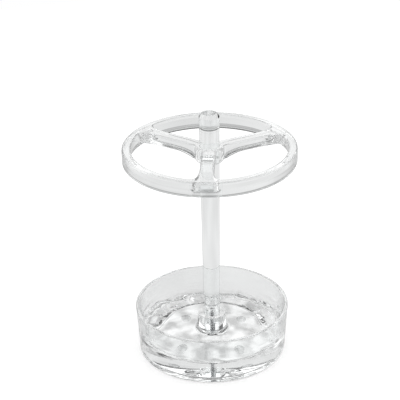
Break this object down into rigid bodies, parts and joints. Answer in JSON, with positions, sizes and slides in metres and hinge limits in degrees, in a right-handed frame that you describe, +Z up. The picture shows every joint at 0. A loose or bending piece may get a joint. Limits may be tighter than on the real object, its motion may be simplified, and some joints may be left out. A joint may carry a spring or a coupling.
{
  "type": "toothbrush holder",
  "caption": "Clear toothbrush stand: a spoked ring frame on a tapered post that rises from a round, thick-bottomed dish.",
  "frame": {"origin": "on the table, under the centre of the post", "axes": "+Z up along the post; -Y is the front, where one spoke of the ring frame points"},
  "size_m": [0.102, 0.102, 0.155],
  "materials": {
    "dish_plastic": "clear moulded plastic, polished",
    "post_plastic": "clear moulded plastic, polished",
    "frame_plastic": "clear moulded plastic, polished",
    "screw_steel": "bright plated steel",
    "pad_rubber": "clear soft pad"
  },
  "bodies": {
    "root": {"base_dish": "dish_plastic", "post": "post_plastic", "ring_frame": "frame_plastic", "base_screw": "screw_steel", "foot_pad_front_right": "pad_rubber", "foot_pad_rear_right": "pad_rubber", "foot_pad_rear_left": "pad_rubber", "foot_pad_front_left": "pad_rubber"}
  },
  "joints": []
}
